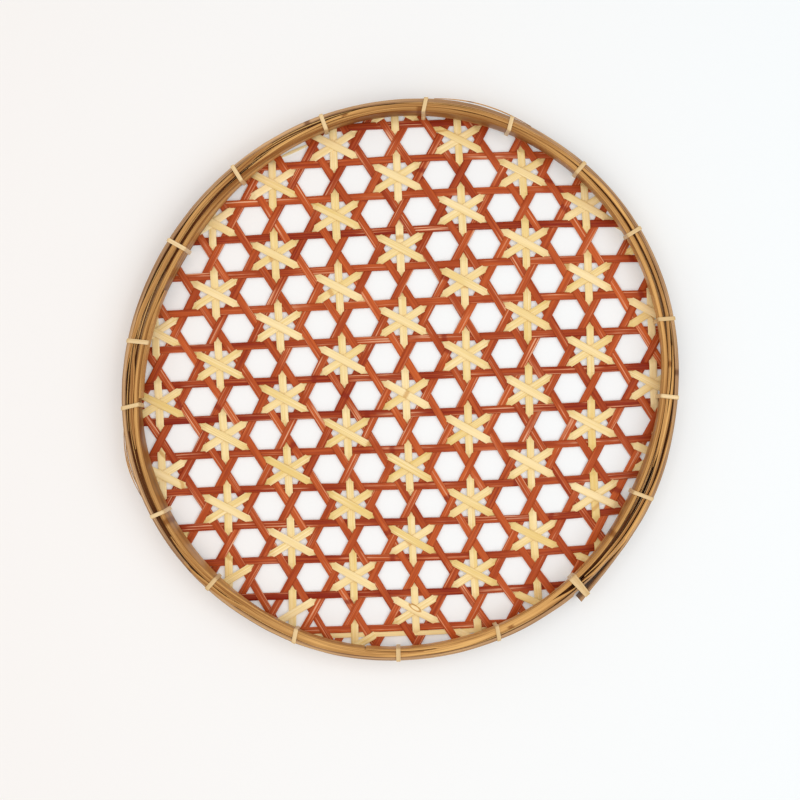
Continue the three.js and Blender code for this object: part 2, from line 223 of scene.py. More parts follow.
# A tie's section: across in widths and out in thicknesses. Then its corners and how it varies.
TIE_SECTION = ((-0.5, 0.1), (-0.3, 0.5), (0.3, 0.5), (0.5, 0.1), (0.5, -0.5), (-0.5, -0.5))
TIE_CORNER = 1.7
TIE_CORNER_STEPS = 6
TIE_ANKLE_DROP = 0.5
TIE_WIDTH_CHANGE = 0.08
TIE_SLANT = 0.22
TIE_LENGTH = 80.0

# How the weave has loosened: stretch up and across, turn, and lean of the rows towards the right.
SLACK_UP = 0.027
SLACK_ACROSS = -0.0095
SLACK_TURN = -0.0081
SLACK_LEAN = (0.00037, 0.00024)

# How a strip is drawn: steps, and how its width and its line vary. Its ends turn up over STRIP_BEND.
STRIP_STEP = 2.6
STRIP_FEWEST_STEPS = 24
STRIP_WIDTH_CHANGE = 0.045
STRIP_WIDTH_STRETCH = 45
STRIP_WANDER_STRETCH = 70
STRIP_BEND = 1.0

# A strip's section: across in half widths, and down in thicknesses. The skin side is a little crowned.
SKIN_SIDE = ((-1.0, -0.4), (-0.93, -0.06), (-0.5, 0.0), (0.0, 0.03), (0.5, 0.0), (0.93, -0.06), (1.0, -0.4))
STRIP_SECTION = SKIN_SIDE + ((0.95, -0.92), (0.0, -0.94), (-0.95, -0.92))

# Distances of the weave, and levels above its middle.
ROW = RIM_DIAMETER / ROWS_ACROSS
HEXAGON = ROW / sqrt(3)
SHORTEST_STRIP = 4.2 * HEXAGON
WEAVE_SHIFT = Vector((0.121, -0.359)) * ROW
WAVE = LAYER / (2 - 1.5 * STAINED_WIDTH / (sin(60 * DEGREE) * HEXAGON))
STAR_OVER = 2 * LAYER
STAR_UNDER = -1.87 * LAYER
STAR_STEP = 4 / 3 * LAYER
STAR_ROWS = 9
CROSSING_HALF = STAR_WIDTH / 2 + STAINED_WIDTH / 2 / cos(30 * DEGREE)
UNDER_REACH = CROSSING_HALF / tan(30 * DEGREE) - STAINED_WIDTH / 4

# Radii and heights of the rim.
MIDDLE = STRIP_THICKNESS - STAR_UNDER
GROOVE_OUTSIDE = RIM_DIAMETER / 2 - OUTER_THICKNESS
FOLD = GROOVE_OUTSIDE - FIT - STRIP_THICKNESS - LAYER
GROOVE_INSIDE = FOLD - 4 * LAYER - FIT
INNER_RADIUS = GROOVE_INSIDE - INNER_THICKNESS
TUCK_TOP = MIDDLE + TUCK
INNER_BOTTOM = MIDDLE + 4 * LAYER + FIT
OUTER_BOTTOM = TIE_THICKNESS + FIT
HOOP_TOP = RIM_TOP - TIE_THICKNESS - FIT
SPLINT_FOOT = TUCK_TOP + FIT
SPLINT_LIMIT = HOOP_TOP + 0.15
RIM_SHAPE = (
    Matrix.Rotation(RIM_LONG_AXIS * DEGREE, 2)
    @ Matrix.Diagonal((1 + RIM_STRETCH, 1 - RIM_STRETCH))
    @ Matrix.Rotation(-RIM_LONG_AXIS * DEGREE, 2)
)
RIM_RELAX = RIM_SHAPE.inverted()

# Each set of strips: direction, first and last line, level at the rim, and the set that it passes over, or
# its place in the pile of a star.
STAINED_SETS = {
    "across": (0, -7, 7, 0.0, "rising"),
    "rising": (60, -7, 6, LAYER, "falling"),
    "falling": (120, -7, 6, -LAYER, "across"),
}
STAR_SETS = {
    "upright": (90, -4, 4, 2 * LAYER, -1),
    "slanting_up": (30, -3, 4, 3 * LAYER, 0),
    "slanting_down": (150, -4, 3, 4 * LAYER, 1),
}

# How far the tones of the stained strips spread, and how much paler each set is drawn: painted sheen,
# lighter on the diagonal sets and darker on the across set as light falls along their fibres.
STAINED_TONES = 0.75
STAINED_SET_SHEEN = {"across": -0.25, "rising": 0.12, "falling": 0.12}
EDGE_TONE = 0.35

# The first seed of each kind of piece.
STAINED_SEED = 1
STAR_SEED = 101
EDGE_SEED = 150
LOOSE_SEED = 151
HOOP_SEED = 201
BINDING_SEED = 301
LAP_SEED = 327

# The knot on the lowest star: its middle, the way it points, its half length and half width, and its line.
KNOT_PLACE = (2.8, -157.0, 0.0)
KNOT_TURN = -35.0
KNOT_SIZE = (4.2, 1.5)
KNOT_LINE = (0.34, 0.1)

# The bamboo finish: shares of the grain's parts, where pale lines of worn fibres and painted highlight show,
# and the strength of each effect.
GRAIN_SHARES = (("Streak", 0.42), ("Blotch", 0.33), ("Fibre", 0.25))
BLOTCH_SCALE = 80.0
WEAR_AND_HIGHLIGHT_RANGE = 0.14
WEAR_AND_HIGHLIGHT_PATCHES = (0.42, 0.62)
RING_LINE = (0.008, 0.003)
RING_RAGGED = 0.006
RING_STAGGER = 17.3
RING_STRENGTH = 0.75
RING_RELIEF = 0.8
GLOSS_CHANGE = 0.3
RELIEF_DEPTH = 0.2
GRAIN_APART = 3

# Each bamboo finish: settings of its dark, light, wear-and-highlight and ring colours. Then scales of fibres
# and streaks across a piece, their run along it and rings per metre. Then share of the piece's tone,
# contrast of the grain, where pale lines of worn fibres and painted highlight start, roughness, relief and
# shine.
FINISHES = {
    "stained_bamboo_finish": (
        ("stained_dark", "stained_light", "stained_wear_and_highlight", "stained_dark"),
        (1300.0, 850.0, 14.0, 3.1),
        (0.55, 0.21, 0.58, 0.36, 0.35, 0.09),
    ),
    "natural_bamboo_finish": (
        ("straw_dark", "straw_light", "straw_light", "straw_ring"),
        (1600.0, 450.0, 10.0, 3.7),
        (0.5, 0.2, 0.5, 0.45, 0.25, 0.2),
    ),
    "inner_hoop_finish": (
        ("inner_dark", "inner_light", "splint_light", "inner_dark"),
        (900.0, 260.0, 6.0, 2.6),
        (0.25, 0.13, 0.58, 0.45, 0.4, 0.1),
    ),
    "outer_hoop_finish": (
        ("outer_dark", "outer_light", "splint_light", "outer_dark"),
        (1000.0, 300.0, 7.0, 2.9),
        (0.2, 0.14, 0.56, 0.46, 0.4, 0.15),
    ),
    "splint_finish": (
        ("splint_dark_and_groove_shade", "splint_light", "tie_light", "splint_dark_and_groove_shade"),
        (1400.0, 500.0, 8.0, 2.2),
        (0.9, 0.18, 0.56, 0.6, 0.4, 0.08),
    ),
    "tie_bamboo_finish": (
        ("tie_dark", "tie_light", "tie_light", "tie_dark"),
        (1500.0, 600.0, 12.0, 3.0),
        (0.3, 0.2, 0.5, 0.42, 0.3, 0.3),
    ),
}
KNOTTED_FINISH = "natural_bamboo_finish"

# Sockets of the fibre group, and of a node that mixes colours.
FIBRE_INPUTS = ("Fine", "Broad", "Run", "Rings")
FIBRE_OUTPUTS = ("Fibre", "Streak", "Blotch", "Ring")
MIX_INPUTS = (6, 7)
MIX_OUTPUT = 2

# The least angle of an edge that stays sharp, and how near a solid's corner has to lie to be met.
SHARP_EDGE = 50.0
CORNER_NEAR = 0.2

# The floor and the sky: sizes in metres, and strengths. The floor blends from painted warm light on the left
# to painted cool light on the right, and its glow is painted light that lifts the shade on it.
FLOOR_SIZE = 4.0
FLOOR_DROP = 0.1 * MM
FLOOR_BLEND = 0.3
FLOOR_GLOW = 0.22
SKY_STRENGTH = 0.5

# The large lights round the basket: size and place in metres, and tint.
LIGHTS = {
    "right": (1.1, (0.9, 0.0, 1.4), (0.9, 0.97, 1.0)),
    "left": (1.2, (-0.85, 0.1, 1.4), (1.0, 0.92, 0.84)),
    "front": (1.2, (0.25, -0.95, 1.4), (1.0, 1.0, 1.0)),
    "top": (1.6, (0.05, 0.1, 1.9), (1.0, 0.99, 0.98)),
}

# The camera: height above the rim and place in metres, turn in degrees, and half the width that it sees.
CAMERA_HEIGHT = 1.16
CAMERA_PLACE = (-1.0 * MM, -13.0 * MM, 0.0)
CAMERA_TURN = -2.4
VIEW_HALF_WIDTH = 0.2712


def rim_point(radius, turn, height):
    """A point of the oval rim, in metres, from its radius, angle in degrees and height."""
    flat = RIM_SHAPE @ Vector((radius * cos(turn * DEGREE), radius * sin(turn * DEGREE)))
    return Vector((flat.x, flat.y, height)) * MM


def rim_stray(turn):
    """How far the hoops stray at any angle, on a smooth curve through RIM_STRAY."""
    turn %= 360
    count = len(RIM_STRAY)
    i = max(k for k in range(count) if RIM_STRAY[k][0] <= turn)
    rows = [RIM_STRAY[(i + k) % count] for k in (-1, 0, 1, 2)]
    share = (turn - rows[1][0]) / ((rows[2][0] - rows[1][0]) % 360)
    strays = []
    for a, b, c, d in zip(*(row[1:] for row in rows)):
        bend = (2 * a - 5 * b + 4 * c - d) * share**2 + (3 * b - 3 * c + d - a) * share**3
        strays.append(b + 0.5 * ((c - a) * share + bend))
    return strays


def inner_hoop_edges(turn):
    """Radius of the inner hoop's upper inside, the foot of its inside, and its outside."""
    top, foot, _ = rim_stray(turn)
    outside = GROOVE_INSIDE + top
    return outside - INNER_THICKNESS, INNER_RADIUS + min(foot, top + FOOT_LEAN), outside


def outer_hoop_edges(turn):
    """The same radii of the outer hoop, whose inside is upright."""
    inside = GROOVE_OUTSIDE + rim_stray(turn)[2]
    return inside, inside, inside + OUTER_THICKNESS


def groove_radius(turn, share):
    """Radius of a place a share of the way across the groove."""
    start = inner_hoop_edges(turn)[2]
    return start + share * (outer_hoop_edges(turn)[0] - start)


def slack(point):
    """Moves a point of the weave as the strips have loosened, and less and less towards the rim."""
    share = max(0.0, 1 - ((RIM_RELAX @ point).length / FOLD) ** 2)
    x, y = point
    across = SLACK_ACROSS * x + SLACK_LEAN[0] * x * y
    up = SLACK_UP * y + SLACK_TURN * x + SLACK_LEAN[1] * x * y
    return point + share * Vector((across, up))


def drift(seed, position, stretch):
    """A slow irregularity between about -1 and 1, the same on each run."""
    return 1.6 * noise.noise(Vector((position / stretch, 7.31 * seed, 0.37 * seed)))


def tone_of(seed, least=0.0):
    """A tone between the least and 1 that differs from piece to piece."""
    return least + (1 - least) * ((sin(seed * 12.9898) * 43758.5453) % 1.0)


class Line:
    """One straight line of the weave."""

    def __init__(self, angle, number, offset, rim_level):
        self.along = Vector((cos(angle * DEGREE), sin(angle * DEGREE)))
        self.left = Vector((-self.along.y, self.along.x))
        self.number = number
        self.offset = offset
        self.rim_level = rim_level

    def at(self, u, v=0.0):
        """The point u along the line and v to its left."""
        return WEAVE_SHIFT + self.along * u + self.left * (self.offset + v)

    def meets(self, other):
        """How far along the line another one crosses it."""
        return (other.offset - self.offset * other.left.dot(self.left)) / other.left.dot(self.along)

    def reach(self, radius, v, sign):
        """How far along the line, v to its left, leaves a circle of the rim."""
        start = RIM_RELAX @ self.at(0.0, v)
        step = RIM_RELAX @ self.at(1.0, v) - start
        half = start.dot(step)
        root = half * half - step.length_squared * (start.length_squared - radius * radius)
        return (-half + sign * sqrt(max(root, 0.0))) / step.length_squared

    def holds(self, width):
        """Whether a strip of some width on the line is long enough to be held by the rim."""
        side = copysign(width / 2, self.offset)
        return self.reach(FOLD, side, 1) - self.reach(FOLD, side, -1) > SHORTEST_STRIP


def lines_of(sets, pitch, start):
    """The lines of each set, a pitch apart."""
    return {
        name: [Line(angle, i, (i + start) * pitch, level) for i in range(first, last + 1)]
        for name, (angle, first, last, level, _) in sets.items()
    }


def held_lines(lines_by_set, width, first_seed):
    """Each line whose strip the rim holds: its set, its number there, itself and a seed."""
    seeds = itertools.count(first_seed)
    for name, lines in lines_by_set.items():
        held = [line for line in lines if line.holds(width)]
        for number, line in enumerate(held, 1):
            yield name, number, line, next(seeds)


STAINED_LINES = lines_of(STAINED_SETS, ROW, 0.5)
STAR_LINES = lines_of(STAR_SETS, 3 * HEXAGON, 0.0)
LOWEST = next(line for line in STAINED_LINES["across"] if line.holds(STAINED_WIDTH))
EDGE_MIDDLE = LOWEST.at(0.0).y - STAINED_WIDTH / 2 - FIT - EDGE_WIDTH / 2


def stained_levels(name, line):
    """Where a stained strip rises over one set and dips under the other."""
    over = STAINED_SETS[name][4]
    return [
        (line.meets(other), WAVE if other_name == over else -WAVE)
        for other_name, others in STAINED_LINES.items()
        if other_name != name
        for other in others
    ]


def star_levels(name, line):
    """Where a star strip lies in a star, passes over a stained strip and dips under a crossing."""
    levels = []
    for row in range(-STAR_ROWS, STAR_ROWS + 1):
        u = row * ROW
        if abs(row) % 2 == abs(line.number) % 2:
            levels.append((u, LAYER + STAR_SETS[name][4] * STAR_STEP))
            continue
        for sign in (-1, 1):
            levels.append((u + sign * UNDER_REACH, STAR_UNDER))
            levels.append((u + sign * (ROW / 2 - STAINED_WIDTH / 2), STAR_OVER))
    return levels


def level_curve(levels):
    """The level of a strip anywhere along its line, eased from each place to the next."""
    places = sorted(levels)
    along = [place[0] for place in places]

    def level_at(u):
        i = bisect_right(along, u)
        if i == 0 or i == len(places):
            return places[min(i, len(places) - 1)][1]
        (u0, level0), (u1, level1) = places[i - 1], places[i]
        share = (u - u0) / (u1 - u0)
        return level0 + (level1 - level0) * share * share * (3 - 2 * share)

    return level_at


def new_shape():
    """An empty mesh with layers for fibre coordinates, tones and paler places."""
    shape = bmesh.new()
    shape.loops.layers.uv.new("Fibre")
    shape.verts.layers.float.new("tone")
    shape.verts.layers.float.new("pale")
    return shape


def wrap(shape, rings, length, girth, tone, closed=False):
    """Wraps a grid over rings of points into one solid piece, or into a loop where it is closed."""
    along = len(rings) if closed else len(rings) - 1
    around = len(rings[0])
    grid = bmesh.ops.create_grid(shape, x_segments=along, y_segments=around, size=0.5)
    fibre = shape.loops.layers.uv["Fibre"]
    tones = shape.verts.layers.float["tone"]
    faces = {face for vert in grid["verts"] for face in vert.link_faces}
    for face in faces:
        for loop in face.loops:
            u = (loop.vert.co.x + 0.5) * length * MM
            v = (loop.vert.co.y + 0.5) * girth * MM + GRAIN_APART * tone
            loop[fibre].uv = (u, v)
    for vert in grid["verts"]:
        vert[tones] = tone
        i = round((vert.co.x + 0.5) * along)
        j = round((vert.co.y + 0.5) * around)
        vert.co = rings[i % len(rings)][j % around]
    bmesh.ops.remove_doubles(shape, verts=grid["verts"], dist=1e-7)
    edges = {edge for face in faces if face.is_valid for edge in face.edges}
    bmesh.ops.holes_fill(shape, edges=[edge for edge in edges if edge.is_boundary], sides=0)


def add_object(shape, name, material):
    """Turns a shape into an object of the scene."""
    mesh = bpy.data.meshes.new(name)
    shape.to_mesh(mesh)
    shape.free()
    mesh.materials.append(material)
    thing = bpy.data.objects.new(name, mesh)
    bpy.context.scene.collection.objects.link(thing)
    return thing


def finish_piece(shape, name, material, nodes):
    """Makes the shape a piece that stands for its solids and rides on the basket."""
    bmesh.ops.recalc_face_normals(shape, faces=shape.faces)
    for face in shape.faces:
        face.smooth = True
    for edge in shape.edges:
        edge.smooth = not edge.is_manifold or edge.calc_face_angle() < SHARP_EDGE * DEGREE
    piece = add_object(shape, name, material)
    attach(piece, "root")
    if nodes:
        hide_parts(*nodes)


def node_with(point, names):
    """The solid that has a corner at a point."""
    for name in names:
        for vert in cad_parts[name].data.vertices:
            if (vert.co - point).length < CORNER_NEAR * MM:
                return name
    raise RuntimeError(f"no solid has a corner at {tuple(point)}")


def weave_strip(line, width, levels, seed, tone, wander):
    """The shape of a strip from groove to groove, with its ends turned up between the hoops."""
    level_at = level_curve(levels)
    columns = []
    for across, down in STRIP_SECTION:
        v = across * width / 2
        drop = down * STRIP_THICKNESS
        face = FOLD - line.rim_level - drop
        radii = (face - STRIP_BEND, face)
        ends = {sign: [line.reach(radius, v, sign) for radius in radii] for sign in (-1, 1)}
        columns.append((v, drop, ends))
    length = line.reach(FOLD, 0.0, 1) - line.reach(FOLD, 0.0, -1)
    steps = max(STRIP_FEWEST_STEPS, round(length / STRIP_STEP))
    last = steps + 4

    def place(i, j):
        """Two rings at each end stand in the groove, and the others run along the line."""
        v, drop, ends = columns[j]
        if i < 2 or i > last - 2:
            fold = ends[-1 if i < 2 else 1][1]
            flat = line.at(fold, v)
            low = MIDDLE + level_at(fold) + drop + STRIP_BEND
            return Vector((flat.x, flat.y, TUCK_TOP if i in (0, last) else low)) * MM
        share = (i - 2) / steps
        u = ends[-1][0] + (ends[1][0] - ends[-1][0]) * share
        ease = sin(pi * share) ** 0.5 if 0 < share < 1 else 0.0
        side = v * (1 + STRIP_WIDTH_CHANGE * drift(seed + 0.5, u, STRIP_WIDTH_STRETCH))
        side += wander * ease * drift(seed, u, STRIP_WANDER_STRETCH)
        flat = slack(line.at(u, side))
        return Vector((flat.x, flat.y, MIDDLE + level_at(u) + drop)) * MM

    shape = new_shape()
    rings = [[place(i, j) for j in range(len(columns))] for i in range(last + 1)]
    wrap(shape, rings, length, 2 * width, tone)
    return shape


def rounded_section(edges, bottom, top, top_round, bottom_round):
    """Corners of a band's section with its edges rounded, from the inside up and over."""
    low, foot, high = edges
    points = []
    for across, side, end, start, rounding, steps in (
        (low, 1, -1, 180, top_round, 5),
        (high, -1, -1, 90, top_round, 5),
        (high, -1, 1, 0, bottom_round, 3),
        (foot, 1, 1, -90, bottom_round, 3),
    ):
        rounding = min(rounding, 0.49 * (high - max(low, foot)))
        centre = (across + side * rounding, (bottom if end > 0 else top) + end * rounding)
        for step in range(steps):
            angle = (start - 90 * step / (steps - 1)) * DEGREE
            points.append((centre[0] + rounding * cos(angle), centre[1] + rounding * sin(angle)))
    return points


def bend_hoop(shape, edges_at, bottom, joint, sprung_end, rounding, seed, wander):
    """A hoop bent from one split length, with its two pared ends side by side in the joint.

    The first end lies inside the other, or outside it where it has sprung out."""
    rings = []
    for i in range(HOOP_STEPS + 1):
        turn = (360 + SCARF) * i / HOOP_STEPS
        low, foot, high = edges_at(joint + turn)
        thickness = high - low
        sprung = sprung_end * exp(-turn / SPRING_REACH)
        taper = (thickness - 2 * SCARF_TIP - FIT) / SCARF
        start, stop = 0.0, thickness
        if turn <= SCARF:
            stop = SCARF_TIP + taper * turn + SPRING_BULK * sprung
        elif turn >= 360:
            start = SCARF_TIP + FIT + taper * (turn - 360)
        if sprung_end:
            start, stop = thickness - stop, thickness - start
        sway = sprung + wander * drift(seed, turn, 31) * sin(pi * i / HOOP_STEPS)
        wear_and_highlight = TOP_WEAR * abs(drift(seed + 3, turn, 24)) + TOP_NICKS * drift(seed + 9, turn, 2.6)
        swell = sum(NODE_SWELL * exp(-(((turn - node) / NODE_REACH) ** 2)) for node in HOOP_NODES)
        inward = start + sway - swell + WALL_RIPPLE * drift(seed + 11, turn, 3.1)
        outward = stop - thickness + sway + swell + WALL_RIPPLE * drift(seed + 13, turn, 2.9)
        edges = (low + inward, foot + inward, high + outward)
        section = rounded_section(edges, bottom, HOOP_TOP - max(wear_and_highlight, 0.0), rounding, HOOP_FOOT_ROUND)
        rings.append([rim_point(radius, joint + turn, height) for radius, height in section])
    girth = 2 * (HOOP_TOP - bottom + thickness)
    length = 2 * pi * INNER_RADIUS * (360 + SCARF) / 360
    wrap(shape, rings, length, girth, tone_of(seed))


def pale_side(shape):
    """Makes the inner hoop paler on one side and deeper on the other, and paints light on the lower part of
    its walls on one side.
    """
    pales = shape.verts.layers.float["pale"]
    for vert in shape.verts:
        turn = atan2(vert.co.y, vert.co.x)
        depth = (HOOP_TOP - vert.co.z / MM) / (HOOP_TOP - INNER_BOTTOM)
        # Painted light: the walls grow paler towards their foot on one side.
        painted_wall_light = WALL_PAINTED_LIGHT * depth * max(cos(turn - WALL_PAINTED_LIGHT_SIDE * DEGREE), 0.0)
        vert[pales] = HOOP_PALE * cos(turn - HOOP_PALE_SIDE * DEGREE) + painted_wall_light


def lay_splint(shape, start, stop, radius_at, thickness, bottom, top, seed, tone, blunt=False):
    """A thin splint along the rim, pared at its ends, or only at its start."""
    steps = max(SPLINT_FEWEST_STEPS, round((stop - start) / SPLINT_STEP))
    rings = []
    for i in range(steps + 1):
        turn = start + (stop - start) * i / steps
        middle = radius_at(turn)
        pared = min(1.0, SPLINT_TIP + SPLINT_PARING * (i if blunt else min(i, steps - i)))
        body = thickness * (1 + SPLINT_SWELL * drift(seed + 7, turn, 9)) * pared
        high = min(top + SPLINT_WAVE * drift(seed + 5, turn, 12), SPLINT_LIMIT)
        edges = (middle - body / 2, middle - body / 2, middle + body / 2)
        section = rounded_section(edges, bottom, high, SPLINT_ROUND, SPLINT_ROUND)
        rings.append([rim_point(radius, turn, height) for radius, height in section])
    length = pi * RIM_DIAMETER * (stop - start) / 360
    wrap(shape, rings, length, SPLINT_GIRTH, tone)


def standing_radius(share, seed):
    """The way of a splint that stands in the groove."""
    return lambda turn: groove_radius(turn, share + STANDING_SWAY * drift(seed, turn, 14))


def lying_radius(course, seed):
    """A splint's way along the groove, eased from each place of its course to the next."""
    share_at = level_curve(course)
    return lambda turn: groove_radius(turn, share_at(turn) + LYING_SWAY * drift(seed, turn, 11))


def sliver_radius(start, stop, out):
    """The way of a sliver that bows out from the outer hoop."""
    return lambda turn: outer_hoop_edges(turn)[2] + out * sin(pi * (turn - start) / (stop - start))


def lap_radius(turn):
    """The way of the splint along the inside of the inner hoop."""
    return min(inner_hoop_edges(turn)[:2]) - LAP_SPLINT[2] / 2


def loose_radius(turn):
    """The way of the loose sliver, from under the inner hoop out into the weave."""
    first, last = LOOSE_SLIVER[:2]
    share = (last - turn) / (last - first)
    return INNER_RADIUS + LOOSE_START - LOOSE_REACH * share - LOOSE_BOW * sin(pi * share)


def fill_groove(shape, length, start, stop, seeds):
    """The dark splints packed in the groove along a length of binding, painted shade of the deep groove, and
    the thin ones between them.
    """
    for share, thickness, top in PACKED_SPLINTS:
        seed = next(seeds)
        radius_at = standing_radius(share, seed)
        lay_splint(shape, start, stop, radius_at, thickness, SPLINT_FOOT, top, seed, PACKED_SHADE_TONE)
    for first, last, share, thickness, top in STANDING_SPLINTS[length]:
        seed = next(seeds)
        tone = tone_of(seed, STANDING_TONE)
        radius_at = standing_radius(share, seed)
        lay_splint(shape, first, last, radius_at, thickness, SPLINT_FOOT, top, seed, tone)


def cover_groove(shape, length, start, stop, seeds):
    """The splints on top of one length of binding, the slivers beside them and the lapped splint."""
    for thickness, course in LYING_SPLINTS[length]:
        seed = next(seeds)
        first, last = course[0][0], course[-1][0]
        tone = tone_of(seed, LYING_TONE)
        lay_splint(shape, first, last, lying_radius(course, seed), thickness, *LYING_SPAN, seed, tone)
    for first, last, out in SLIVERS[length]:
        seed = next(seeds)
        radius_at = sliver_radius(first, last, out)
        lay_splint(shape, first, last, radius_at, SLIVER_THICKNESS, *SLIVER_SPAN, seed, SLIVER_TONE)
    if start < LAP_SPLINT[0] < stop:
        first, last, *body = LAP_SPLINT
        lay_splint(shape, first, last, lap_radius, *body, LAP_SEED, LAP_TONE, blunt=True)


def band_path(inside, ankle, outside, foot):
    """The line of a tie round both hoops: points across and up, each with the way out of the band.

    Its inner side leans from the top of the inner hoop to the ankle, and steps in by the foot below it."""
    bottom, top = TIE_THICKNESS / 2, RIM_TOP - TIE_THICKNESS / 2
    low = INNER_BOTTOM - TIE_ANKLE_DROP
    corners = [(inside, top), (outside, top), (outside, bottom), (ankle - foot, bottom), (ankle - foot, low)]
    if foot:
        corners.append((ankle, low + foot + 2 * TIE_CORNER))
    corners = [Vector(corner) for corner in corners]
    points = []
    for i, corner in enumerate(corners):
        before = corners[i - 1] - corner
        after = corners[(i + 1) % len(corners)] - corner
        start = corner + before.normalized() * TIE_CORNER
        stop = corner + after.normalized() * TIE_CORNER
        for step in range(TIE_CORNER_STEPS):
            share = step / (TIE_CORNER_STEPS - 1)
            points.append(start * (1 - share) ** 2 + corner * 2 * share * (1 - share) + stop * share**2)
    path = []
    for i, point in enumerate(points):
        run = points[(i + 1) % len(points)] - points[i - 1]
        path.append((point, Vector((-run.y, run.x)).normalized()))
    return path


def tie_band(shape, turn, foot, width, shift, slant, seed, spring=0.0):
    """One flat strip tied round the rim: shift moves it along, slant lays it askew, spring lets it out."""
    half = TIE_THICKNESS / 2
    inside, ankle = (edge - FIT - half for edge in inner_hoop_edges(turn)[:2])
    if LAP_SPLINT[0] < turn < LAP_SPLINT[1]:
        inside = min(inside, ankle) - LAP_SPLINT[2]
    outside = outer_hoop_edges(turn)[2] + FIT + half + spring
    middle = (inside + outside) / 2
    rings = []
    for i, (point, out) in enumerate(band_path(inside, ankle, outside, foot)):
        lean = slant * (point.x - middle) * point.y / RIM_TOP
        breadth = width * (1 + TIE_WIDTH_CHANGE * drift(seed, 3.0 * i, 21))
        ring = []
        for across, up in TIE_SECTION:
            spot = point + out * up * TIE_THICKNESS
            sideways = shift + lean + across * breadth
            angle = turn + sideways / spot.x / DEGREE
            ring.append(rim_point(spot.x, angle, max(spot.y, 0.0)))
        rings.append(ring)
    wrap(shape, rings, TIE_LENGTH, 2 * width, tone_of(seed), closed=True)


def colour_setting(name, description, *rgb):
    """A colour that the panel offers."""
    return FloatVectorProperty(
        name=name, description=description, subtype="COLOR", size=4, min=0.0, max=1.0, default=(*rgb, 1.0)
    )


def number_setting(name, description, unit, default):
    """A length in metres or a power in watts that the panel offers."""
    return FloatProperty(name=name, description=description, unit=unit, default=default)


class BasketWeave(bpy.types.PropertyGroup):
    """Sizes and colours of the strips."""

    wander: number_setting("Wander", "How far a strip strays from its straight line", "LENGTH", 0.3 * MM)
    stained_dark: colour_setting("Stain, deep", "Where the stain lies thick", 0.235, 0.016, 0.003)
    stained_light: colour_setting("Stain, thin", "Where the stain lies thin", 0.59, 0.118, 0.024)
    # Pale lines on the stained strips: partly stain worn off raised fibres, partly painted highlight.
    stained_wear_and_highlight: colour_setting("Stain, worn", "Raised fibres that have lost stain", 0.82, 0.44, 0.26)
    straw_dark: colour_setting("Straw, dark", "Darker parts of the natural strips", 0.80, 0.565, 0.19)
    straw_light: colour_setting("Straw, light", "Lighter parts of the natural strips", 0.95, 0.755, 0.42)
    straw_ring: colour_setting("Straw, ring", "Growth rings of the natural strips", 0.62, 0.33, 0.09)


class BasketRim(bpy.types.PropertyGroup):
    """Sizes and colours of the hoops, splints and ties."""

    wander: number_setting("Wander", "How far a hoop strays from its even curve", "LENGTH", 0.3 * MM)
    tie_width: number_setting("Tie width", "Width of the strip that a tie is made of", "LENGTH", 2.8 * MM)
    inner_dark: colour_setting("Inner hoop, dark", "Its darker streaks", 0.20, 0.056, 0.006)
    inner_light: colour_setting("Inner hoop, light", "Its lighter streaks", 0.82, 0.455, 0.15)
    outer_dark: colour_setting("Outer hoop, dark", "Its darker streaks", 0.13, 0.042, 0.013)
    outer_light: colour_setting("Outer hoop, light", "Its lighter streaks", 0.72, 0.44, 0.225)
    # The dark splint colour is painted shade of the deep groove as well as the splints' own darker streaks.
    splint_dark_and_groove_shade: colour_setting("Splint, dark", "Darker splints in the groove", 0.105, 0.029, 0.005)
    splint_light: colour_setting("Splint, light", "Lighter splints in the groove", 0.80, 0.475, 0.165)
    tie_dark: colour_setting("Tie, dark", "Darker parts of the ties", 0.60, 0.38, 0.15)
    tie_light: colour_setting("Tie, light", "Lighter parts of the ties", 0.87, 0.65, 0.36)


class BasketStage(bpy.types.PropertyGroup):
    """The floor, the lights and the camera."""

    # The floor's two colours are painted light: warm from the left and cool from the right.
    floor_left: colour_setting("Floor, left", "Its warm colour on the left", 0.757, 0.73, 0.712)
    floor_right: colour_setting("Floor, right", "Its cool colour on the right", 0.737, 0.758, 0.767)
    right_power: number_setting("Right light", "Power of the light on the right", "POWER", 5.6)
    left_power: number_setting("Left light", "Power of the light on the left", "POWER", 3.3)
    front_power: number_setting("Front light", "Power of the light on the near side", "POWER", 3.6)
    top_power: number_setting("Top light", "Power of the light overhead", "POWER", 11.5)
    camera_height: number_setting("Camera height", "Its height above the rim", "LENGTH", CAMERA_HEIGHT)


def link(tree, source, output, target, socket):
    """Joins an output of one node to a socket of another."""
    tree.links.new(source.outputs[output], target.inputs[socket])


def set_inputs(node, values):
    """Sets sockets of a node to constants."""
    for socket, value in values.items():
        node.inputs[socket].default_value = value


def new_material(name):
    """A new material, its node tree and its shader."""
    material = bpy.data.materials.new(name)
    material.use_nodes = True
    return material, material.node_tree, material.node_tree.nodes["Principled BSDF"]


def math_node(tree, operation, *terms):
    """A math node whose terms are numbers or (node, output) pairs."""
    node = tree.nodes.new("ShaderNodeMath")
    node.operation = operation
    for i, term in enumerate(terms):
        if isinstance(term, tuple):
            link(tree, term[0], term[1], node, i)
        else:
            node.inputs[i].default_value = term
    return node


def away_from(tree, source, output, middle):
    """How far a value lies from a middle, either way."""
    off = math_node(tree, "SUBTRACT", (source, output), middle)
    return math_node(tree, "ABSOLUTE", (off, "Value"))


def ramp(tree, source, output, low, high):
    """Spreads a value between two limits over 0 to 1."""
    node = tree.nodes.new("ShaderNodeMapRange")
    set_inputs(node, {"From Min": low, "From Max": high})
    link(tree, source, output, node, "Value")
    return node


